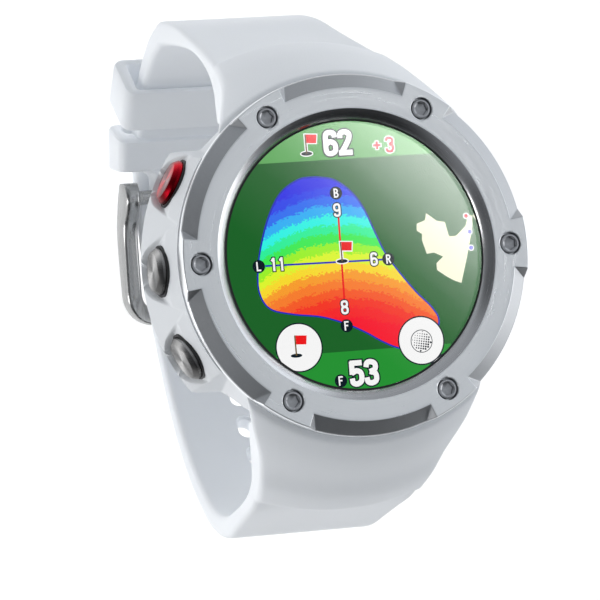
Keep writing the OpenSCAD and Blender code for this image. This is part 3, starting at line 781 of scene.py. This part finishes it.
def make_screws():
    """Six flush screws with a hexagon socket."""
    top = 13.86
    angles = np.linspace(0, 2 * np.pi, 48, endpoint=False)

    def circle(radius, z):
        return [(radius * math.cos(a), radius * math.sin(a), z) for a in angles]

    def hexagon(apothem, z):
        ring = []
        for a in angles:
            radius = apothem / math.cos((a + math.pi / 6) % (math.pi / 3) - math.pi / 6)
            ring.append((radius * math.cos(a), radius * math.sin(a), z))
        return ring

    rings = [circle(0.7, 9.5), circle(0.7, 12.55), circle(SCREW_HEAD_R, 12.55),
             circle(SCREW_HEAD_R, top - 0.16), circle(SCREW_HEAD_R - 0.05, top - 0.06),
             circle(SCREW_HEAD_R - 0.16, top), circle(0.98, top), circle(0.94, top - 0.03),
             hexagon(0.76, top - 0.1), hexagon(0.74, top - 0.62), circle(0.2, top - 0.85)]
    screw = solid(rings)
    heads = []
    for k in range(6):
        copy = screw.copy()
        copy.transform(screw_place(k) @ Matrix.Rotation(0.35 * k, 4, "Z"))
        heads.append(copy)
    piece("screws", joined(heads), "watch", screw_steel, ["bezel_screws"], sharp=30)


make_bezel()
make_screws()

# ---- buckle
ARM_X, ARM_HALF = 11.5, 1.25
BAR_Y, BAR_HALF = -1.9, 1.3
CORNER_R = 3.2


def squared(value, power):
    """A sine or cosine pushed out, so that a circle turns towards a square."""
    return math.copysign(abs(value)**power, value)


def make_buckle():
    """The frame: two arms with eyes for the pin, and a cross bar at their ends."""
    arm = smooth([(17.08, -48.6, -49.1), (16.85, -47.8, -50), (16.2, -47.1, -50.75), (15.4, -46.7, -51.4),
                  (14.7, -46.62, -51.9), (13.9, -46.85, -52.4), (13, -47.55, -52.85), (12, -48.5, -53.2),
                  (11, -49.25, -53.45), (9, -49.85, -53.75), (6.5, -50.08, -53.88), (3.5, -50.25, -53.85),
                  (BAR_Y + CORNER_R, -50.35, -53.8)], 4)
    rows = [(-ARM_X, y, 0, high, low, ARM_HALF) for y, high, low in arm]
    for t in np.linspace(0, 1, 9)[1:]:
        a = t * math.pi / 2
        x = -ARM_X + CORNER_R * (1 - math.cos(a))
        y = BAR_Y + CORNER_R * (1 - math.sin(a))
        ease = t * t * (3 - 2 * t)
        rows.append((x, y, a, -50.35 - 1.43 * ease, -53.8 + 0.15 * ease, ARM_HALF + 0.05 * t))
    for x in np.linspace(-ARM_X + CORNER_R + 1, 0, 6):
        rows.append((x, BAR_Y, math.pi / 2, -51.78, -53.65, BAR_HALF))
    mirrored = [(-x, y, math.pi - a, high, low, half) for x, y, a, high, low, half in rows[:-1]]
    rings = []
    for x, y, a, high, low, half in rows + mirrored[::-1]:
        side = np.array([math.cos(a), math.sin(a)])
        ring = []
        for b in np.linspace(0, 2 * np.pi, 32, endpoint=False):
            u = half * squared(math.cos(b), 0.55)
            v = (high - low) / 2 * squared(math.sin(b), 0.55)
            ring.append((x + u * side[0], y + u * side[1], (high + low) / 2 + v))
        rings.append(ring)
    frame_mesh = combine(solid(rings), [rod(PIN_HOLE_R, 12.3, (0, *PIN))], "DIFFERENCE")
    piece("buckle_ring", frame_mesh, "buckle", buckle_satin, ["buckle_frame"], sharp=50)


def make_tongue():
    outer = [(14.9, -47.6), (11.5, -48.8), (9.2, -49.2), (7.9, -50.6), (7.1, -52.2), (5.4, -53), (1, -53.5),
             (-2.9, -53.95)]
    inner = [(14.9, -50.4), (12.6, -50.2), (10, -50), (8.9, -50.4), (8, -52), (6.9, -53.4), (1.4, -54.9),
             (-2.9, -55)]
    rings = []
    for yo, zo, yi, zi in smooth([[*o, *i] for o, i in zip(outer, inner)], 5):
        ring = []
        for b in np.linspace(0, 2 * np.pi, 20, endpoint=False):
            t = 0.5 + 0.5 * squared(math.sin(b), 0.7)
            ring.append((0.8 * squared(math.cos(b), 0.7), yo + (yi - yo) * t, zo + (zi - zo) * t))
        rings.append(ring)
    eye = rod(1.7, 1.5, (0, *PIN))
    tongue = combine(combine(solid(rings), [eye], "UNION"), [rod(PIN_HOLE_R, 5, (0, *PIN))], "DIFFERENCE")
    piece("tongue_pin", tongue, "tongue", buckle_satin, ["buckle_tongue"], sharp=40)


make_buckle()
make_tongue()

# ---- screen
SCREEN_Z = 11.932
LAYER = 0.0015
BAND = 1.2 * MM


def unlit(name):
    """A material that only glows, for the screen's dots."""
    return new_material(name, (0, 0, 0), roughness=0.4, Emission_Strength=1.0, Specular_IOR_Level=0.0)


def glow(name, color):
    """A lit colour on the screen, with the faint unevenness of its dots."""
    material = unlit(name)
    dots = add(material, "TexNoise", {"Vector": position(material), "Scale": 9000.0, "Detail": 1.0})
    mix = add(material, "Mix", {"Factor": dots.outputs["Fac"]}, data_type="RGBA")
    mix.inputs["A"].default_value = (*[c * 0.94 for c in color], 1)
    mix.inputs["B"].default_value = (*color, 1)
    shader_link(material, mix.outputs["Result"], "Emission Color")
    return material


def make_panel_material():
    """Two bands of lighter green above and below a darker field."""
    span, edge = 40, 12.35
    material = unlit("panel_lit")
    axes = add(material, "SeparateXYZ", {0: position(material)})
    y = math_node(material, "MULTIPLY", axes.outputs["Y"], 1 / (span * MM))
    place = math_node(material, "ADD", y, 0.5)
    low, high = 0.5 - edge / span, 0.5 + edge / span
    color = ramp(material, place, [(0, (0.02, 0.3, 0.035)), (low, (0.012, 0.13, 0.022)),
                                   (high, (0.11, 0.4, 0.1))], "CONSTANT")
    shader_link(material, color, "Emission Color")
    return material


def make_slope_material():
    """The height map: bands from blue at the back of the green to red at its front."""
    material = unlit("height_map")

    def plus(a, b):
        return math_node(material, "ADD", a, b)

    def times(a, b):
        return math_node(material, "MULTIPLY", a, b)

    point = position(material)
    axes = add(material, "SeparateXYZ", {0: point})
    x = plus(axes.outputs["X"], 1.5 * MM)
    bow = times(times(x, x), 28.0)
    height = plus(plus(axes.outputs["Y"], times(x, 0.05)), bow)
    waves = add(material, "TexNoise", {"Vector": point, "Scale": 300.0, "Detail": 2.0}).outputs["Fac"]
    height = plus(height, times(waves, 0.9 * MM))
    grid = add(material, "VectorMath", {0: point, 1: (0.2 * MM, 0.2 * MM, 1)}, operation="SNAP").outputs[0]
    dots = times(add(material, "TexWhiteNoise", {"Vector": grid}).outputs["Value"], 0.45)
    bands = plus(times(height, 1 / BAND), dots)
    height = times(math_node(material, "FLOOR", bands, 0), BAND)
    place = plus(times(height, 1 / (25 * MM)), 0.42)
    color = ramp(material, place, [
        (0.1, (0.97, 0.01, 0.03)), (0.2, (0.95, 0.05, 0.02)), (0.27, (0.98, 0.2, 0.03)),
        (0.34, (0.99, 0.4, 0.03)), (0.39, (0.98, 0.93, 0.03)), (0.44, (0.6, 0.98, 0.03)),
        (0.5, (0.06, 0.85, 0.02)), (0.56, (0.03, 0.9, 0.3)), (0.61, (0.03, 0.95, 0.8)),
        (0.665, (0.03, 0.4, 0.95)), (0.72, (0.03, 0.1, 0.88)), (0.79, (0.03, 0.03, 0.8))])
    shader_link(material, color, "Emission Color")
    return material


def plate(outlines, layer, material, grow=0.0):
    """A thin flat shape on the screen from closed outlines of (x, y) points."""
    data = bpy.data.curves.new("plate", "CURVE")
    data.dimensions, data.fill_mode = "2D", "BOTH"
    data.extrude, data.offset = LAYER / 2 * MM, grow * MM
    for outline in outlines:
        spline = data.splines.new("POLY")
        spline.points.add(len(outline) - 1)
        for point, (x, y) in zip(spline.points, outline):
            point.co = (x * MM, y * MM, 0, 1)
        spline.use_cyclic_u = True
    return flat_mesh(data, layer, material)


def flat_mesh(data, layer, material):
    mesh = baked(placed("temporary", data))
    mesh.transform(Matrix.Translation((0, 0, (SCREEN_Z + LAYER * layer) * MM)))
    tidy_mesh(mesh)
    mesh.materials.clear()
    mesh.materials.append(material)
    return mesh


STROKES = {
    "1": [[(0.14, 0.74), (0.3, 0.93)], [(0.3, 0.98), (0.3, 0.0)]],
    "2": [[(0.08, 0.7), (0.1, 0.86), (0.28, 0.92), (0.45, 0.84), (0.45, 0.66), (0.32, 0.42), (0.1, 0.1)],
          [(0.01, 0.085), (0.53, 0.085)]],
    "3": [[(0.08, 0.74), (0.12, 0.88), (0.28, 0.92), (0.45, 0.83), (0.44, 0.62), (0.24, 0.53)],
          [(0.24, 0.53), (0.45, 0.44), (0.46, 0.18), (0.28, 0.08), (0.11, 0.13), (0.08, 0.28)]],
    "5": [[(0.5, 0.91), (0.06, 0.91)], [(0.1, 0.95), (0.09, 0.48)],
          [(0.09, 0.52), (0.28, 0.6), (0.46, 0.5), (0.46, 0.2), (0.28, 0.08), (0.11, 0.13), (0.08, 0.28)]],
    "6": [[(0.46, 0.74), (0.44, 0.87), (0.28, 0.92), (0.11, 0.85), (0.08, 0.5), (0.1, 0.15), (0.28, 0.08),
           (0.46, 0.18), (0.46, 0.44), (0.28, 0.55), (0.1, 0.46)]],
    "8": [[(0.28, 0.92), (0.12, 0.86), (0.11, 0.62), (0.28, 0.53), (0.46, 0.43), (0.46, 0.17), (0.28, 0.08),
           (0.1, 0.17), (0.1, 0.43), (0.28, 0.53), (0.45, 0.62), (0.44, 0.86), (0.28, 0.92)]],
    "B": [[(0.1, 0), (0.1, 1)], [(0.1, 0.92), (0.34, 0.9), (0.44, 0.74), (0.34, 0.55), (0.1, 0.52)],
          [(0.1, 0.52), (0.38, 0.48), (0.49, 0.28), (0.36, 0.1), (0.1, 0.08)]],
    "F": [[(0.1, 0), (0.1, 1)], [(0.04, 0.92), (0.52, 0.92)], [(0.1, 0.52), (0.44, 0.52)]],
    "L": [[(0.1, 0), (0.1, 1)], [(0.04, 0.08), (0.52, 0.08)]],
    "R": [[(0.1, 0), (0.1, 1)], [(0.1, 0.92), (0.36, 0.9), (0.46, 0.72), (0.36, 0.54), (0.1, 0.5)],
          [(0.28, 0.5), (0.52, 0.02)]],
    "+": [[(0.0, 0.42), (0.56, 0.42)], [(0.28, 0.14), (0.28, 0.7)]],
}
STROKES["9"] = [[(0.56 - x, 1 - y) for x, y in path] for path in STROKES["6"]]


def strokes(text, x, y, height, width, layer, material):
    """Figures drawn as bars along their lines, centred on a point; width is the bars' width."""
    inset, parts = 0.08 * height - width / 2, []
    left = x - 0.31 * height * len(text) + 0.03 * height
    for figure_at, letter in enumerate(text):
        for path in STROKES[letter]:
            line = smooth([(0, *point) for point in path], 5)[:, 1:] if len(path) > 2 else np.array(path)
            line = line * (height, height) + (left + 0.62 * height * figure_at, y - height / 2)
            run = np.gradient(line, axis=0)
            run /= np.linalg.norm(run, axis=1)[:, None]
            line[0] += run[0] * inset
            line[-1] -= run[-1] * inset
            side = np.stack([-run[:, 1], run[:, 0]], 1) * width / 2
            z = SCREEN_Z + LAYER * layer
            rings = [[(*(c + n), z), (*(c - n), z), (*(c - n), z + LAYER), (*(c + n), z + LAYER)]
                     for c, n in zip(line, side)]
            bar = solid(rings)
            bar.materials.append(material)
            parts.append(bar)
    return parts


def edged(text, x, y, height, wide, narrow, edge, middle):
    """Figures with an edge of another colour."""
    return (strokes(text, x, y, height, wide, 5, edge)
            + strokes(text, x, y, height, narrow, 6, middle))


def bar_outline(start, end, width):
    (x0, y0), (x1, y1) = start, end
    length = math.hypot(x1 - x0, y1 - y0)
    nx, ny = -(y1 - y0) / length * width / 2, (x1 - x0) / length * width / 2
    return [(x0 + nx, y0 + ny), (x1 + nx, y1 + ny), (x1 - nx, y1 - ny), (x0 - nx, y0 - ny)]


def ellipse(x, y, rx, ry, steps=32):
    angles = np.linspace(0, 2 * np.pi, steps, endpoint=False)
    return [(x + rx * math.cos(a), y + ry * math.sin(a)) for a in angles]


def disc(x, y, radius, steps=48):
    return ellipse(x, y, radius, radius, steps)


def flag(x, y, tall, layer, halo=None):
    """A flag on a pole in a hole, standing at a point."""
    pole = bar_outline((x, y), (x, y + tall), 0.16 * tall / 2.2)
    cloth = [(x + 0.1, y + tall), (x + 0.62 * tall, y + tall * 0.96), (x + 0.56 * tall, y + tall * 0.52),
             (x + 0.1, y + tall * 0.55)]
    foot = ellipse(x, y, 0.3 * tall, 0.1 * tall)
    parts = []
    if halo:
        parts += [plate([shape], layer + 0.3 * k, halo, grow=0.14)
                  for k, shape in enumerate((foot, pole, cloth))]
    return parts + [plate([foot], layer + 1.4, lit_navy), plate([pole], layer + 2.0, lit_brown),
                    plate([cloth], layer + 2.6, lit_red)]


def rimmed(x, y, radius, inner, layer, rim, middle):
    """A disc with a rim of another colour."""
    return [plate([disc(x, y, radius)], layer, rim), plate([disc(x, y, inner)], layer + 1, middle)]


lit_white = glow("lit_white", (1.0, 1.0, 1.0))
lit_navy = glow("lit_navy", (0.004, 0.012, 0.02))
lit_blue = glow("lit_blue", (0.02, 0.03, 0.5))
lit_red = glow("lit_red", (0.9, 0.01, 0.012))
lit_brown = glow("lit_brown", (0.16, 0.1, 0.03))
lit_cream = glow("lit_cream", (0.95, 0.95, 0.72))
lit_pink = glow("lit_pink", (0.72, 0.0, 0.02))
lit_violet = glow("lit_violet", (0.15, 0.15, 0.85))


def make_screen():
    height_map = make_slope_material()
    green = smooth([(-4.2, 10.3), (-1.8, 9.8), (0.3, 8.2), (1.8, 6.0), (3.1, 2.7), (4.2, 0), (5.8, -2.5),
                    (8, -5.4), (10, -7.6), (10.7, -9.4), (9.4, -11.9), (6.8, -12.6), (4.9, -12.3),
                    (2.8, -11.3), (0.7, -10), (-1.9, -8.7), (-5.1, -7.6), (-8.9, -7), (-11.9, -6.1),
                    (-13.1, -4), (-13, -1), (-12.2, 2.3), (-10.9, 5.7), (-9.1, 8.5), (-6.5, 10.1),
                    (-4.2, 10.3)], 6)[:-1]
    parts = [plate([green], 1, lit_blue, grow=0.2), plate([green], 2, height_map, grow=-0.02)]
    parts += [plate([bar_outline((-12.1, -0.65), (4, -0.85), 0.24)], 3, lit_blue),
              plate([bar_outline((-1.6, 5.1), (-1.85, -5.8), 0.26)], 4, lit_red)]
    for letter, x, y in [("B", -1.64, 8.14), ("F", -1.86, -9.05), ("L", -12.96, -0.65), ("R", 4.66, -0.83),
                         ("F", -3.33, -16.06)]:
        parts += [plate([disc(x, y, 0.84)], 5, lit_navy), *strokes(letter, x, y, 1.2, 0.2, 6, lit_white)]
    for number, x, y, tall in [("9", -1.72, 5.94, 1.75), ("8", -1.9, -6.65, 1.85), ("11", -10.4, -0.5, 1.75),
                               ("6", 2.7, -0.7, 1.75)]:
        parts += edged(number, x, y, tall, 0.56, 0.3, lit_navy, lit_white)
    for number, x, y in [("62", -0.75, 14.65), ("53", -0.1, -15.25)]:
        parts += edged(number, x, y, 3.25, 1.06, 0.7, lit_navy, lit_white)
    parts += edged("3", 6.3, 14.0, 2.1, 0.62, 0.34, lit_white, lit_pink)
    parts += edged("+", 4.55, 14.15, 1.8, 0.56, 0.3, lit_white, lit_pink)
    parts += flag(-1.65, -0.7, 2.5, 7, lit_white) + flag(-5.1, 13.45, 2.5, 5, lit_white)
    for x, y in [(-8.55, -11.39), (8.11, -11.66)]:
        parts += rimmed(x, y, 3.2, 3.02, 5, lit_navy, lit_white)
    parts += flag(-9, -12.4, 2.6, 7)
    ball_x, ball_y = 8.15, -11.75
    parts += rimmed(ball_x, ball_y, 1.5, 1.4, 7, lit_navy, lit_white)
    dimples = []
    for i in range(-4, 5):
        for k in range(-4, 5):
            x, y = 0.31 * i + 0.06 * k, 0.31 * k - 0.06 * i
            if math.hypot(x, y) < 1.28:
                dimples.append(disc(ball_x + x, ball_y + y, 0.1 + 0.035 * (x - y) / 1.3, 8))
    parts.append(plate(dimples, 9, lit_navy))
    fairway = [(10.4, 4.8), (11.8, 3.7), (12.9, 3.5), (13.3, 1.6), (14.3, 1.6), (15.7, 2.8), (16.2, 4.1),
               (16.8, 4.1), (16.6, 2.4), (15.5, -1.3), (14.4, -4.6), (13.4, -4.2), (12.4, -3.6),
               (11.2, -2.7), (11.2, -1.8), (12.2, -1), (11, -0.4), (10, -0.5), (9.5, 1.3), (9.6, 2.1),
               (8.9, 2.6), (9, 3.5), (10.2, 3.9)]
    parts.append(plate([fairway], 5, lit_cream))
    parts += rimmed(15.9, 4.1, 0.42, 0.27, 6, lit_white, lit_pink)
    for y in (2.0, -0.1):
        parts += rimmed(16.2, y, 0.42, 0.28, 6, lit_white, lit_violet)
    piece("screen_picture", joined(parts), "watch")


make_screen()

# ---- CAD nodes that stay
KEPT = {
    glass_clear: ["lens"],
    make_panel_material(): ["display_panel"],
    gasket_black: ["lens_gasket", "back_gasket", "button_seals"],
    plastic_black: ["display_holder", "contact_block", "button_switches"],
    inner_steel: ["vibration_motor", "back_screws", "clip_upper", "clip_middle", "clip_lower",
                  "spring_bars"],
    flex_amber: ["display_flex"],
    board_green: ["main_board"],
    antenna_gold: ["gps_antenna"],
    foil_silver: ["battery"],
    back_brushed: ["case_back"],
    gold_plate: ["charge_contacts"],
    buckle_satin: ["buckle_bar"],
}
for material, names in KEPT.items():
    for name in names:
        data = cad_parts[name].data
        data.materials.clear()
        data.materials.append(material)


# ---- floor and light
FLOOR_HALF = 3000
FLOOR_GLOW = 0.68
WORLD_GLOW = 0.62
CARD_HEIGHT = 1500
CARD_HALF = 80
CARD_GLOW = 8.8
CARD_DARK, CARD_BRIGHT = -32, 71
SIDES = [((-0.82, 0.07, 0.56), 0.75, 0.93, 0.2), ((0.3, -0.9, 0.3), 0.7, 0.92, 0.25),
         ((-0.1, -0.98, -0.15), -0.1, 0.85, 0.15), ((0.1, 0.3, 0.95), 0.4, 0.95, 0.8),
         ((-0.2, 0.9, 0.35), 0.5, 0.95, 0.75), ((0.85, 0.52, 0), 0.85, 0.97, 2.2),
         ((-0.97, -0.2, 0.05), 0.6, 0.97, 1.25)]


def square(name, half, order):
    """A flat square; the corners' order sets which side it faces."""
    mesh = bpy.data.meshes.new(name)
    corners = [(x * half * MM, y * half * MM, 0) for x, y in ((-1, -1), (1, -1), (1, 1), (-1, 1))]
    mesh.from_pydata(corners, [], [order])
    return placed(name, mesh)


def make_floor():
    """A white table that glows, so that the watch throws no shadow on it."""
    low = min(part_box(name)[0].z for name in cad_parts)
    floor = square("floor", FLOOR_HALF, (0, 1, 2, 3))
    floor.location.z = low
    material = new_material("floor_pale", (0.9, 0.9, 0.9), roughness=0.6, Emission_Color=(1, 1, 1, 1),
                            Emission_Strength=FLOOR_GLOW)
    clouds = add(material, "TexNoise", {"Vector": position(material), "Scale": 6.0, "Detail": 2.0})
    vary(material, clouds.outputs["Fac"], (0.9, 0.9, 0.9), 0.01, 0.55, 0.65)
    floor.data.materials.append(material)


def soft_light(name, place, size, power):
    """A square studio light that faces the watch; place is in millimetres."""
    data = bpy.data.lights.new(name, "AREA")
    data.shape, data.size, data.energy = "SQUARE", size * MM, power
    light = placed(name, data)
    light.location = Vector(place) * MM
    light.rotation_euler = (Vector(place) - Vector((0, 0, -10))).to_track_quat("Z", "Y").to_euler()


def make_card():
    """A far card, dark on one side and bright on the other, which the glass shows as a soft glare."""
    camera = bpy.context.scene.camera.matrix_world.translation / MM - DIAL_CENTRE
    way = Vector((-camera.x, -camera.y, camera.z)) / camera.z
    middle = DIAL_CENTRE + way * CARD_HEIGHT
    card = square("card", CARD_HALF, (0, 3, 2, 1))
    card.location = middle * MM
    material = new_material("card_glow", (0, 0, 0), Emission_Strength=CARD_GLOW)
    axes = add(material, "SeparateXYZ", {0: position(material)})
    across = math_node(material, "MULTIPLY", axes.outputs["X"], 0.71)
    up = math_node(material, "MULTIPLY", axes.outputs["Y"], 0.71)
    along = math_node(material, "ADD", across, up)
    fade = add(material, "MapRange", {"Value": along, "From Min": CARD_DARK * MM,
                                      "From Max": CARD_BRIGHT * MM})
    stops = [(0, 0), (0.31, 0.05), (0.46, 0.13), (0.62, 0.3), (0.77, 0.58), (1, 1)]
    shader_link(material, ramp(material, fade.outputs["Result"], [(at, (v, v, v)) for at, v in stops]),
                "Emission Color")
    card.data.materials.append(material)


def make_world():
    """An even studio with some darker and brighter sides, which the steel shows."""
    world = bpy.data.worlds.new("studio")
    bpy.context.scene.world = world
    world.use_nodes = True
    way = add(world, "TexCoord").outputs["Generated"]
    level = None
    for direction, from_cos, to_cos, share in SIDES:
        near = add(world, "VectorMath", {0: way, 1: Vector(direction).normalized()}, operation="DOT_PRODUCT")
        side = add(world, "MapRange", {"Value": near.outputs["Value"], "From Min": from_cos,
                                       "From Max": to_cos, "To Min": 1.0, "To Max": share},
                   interpolation_type="SMOOTHSTEP")
        value = side.outputs["Result"]
        level = value if level is None else math_node(world, "MULTIPLY", level, value)
    background = world.node_tree.nodes["Background"]
    background.inputs["Color"].default_value = (0.9, 0.95, 1.01, 1)
    world.node_tree.links.new(math_node(world, "MULTIPLY", level, WORLD_GLOW), background.inputs["Strength"])


def make_light():
    make_world()
    soft_light("key", (-420, -110, 20), 160, 0.48)
    soft_light("side", (420, -60, 120), 200, 0.2)
    make_card()
    bpy.context.scene.view_settings.view_transform = "Standard"


make_floor()
make_light()
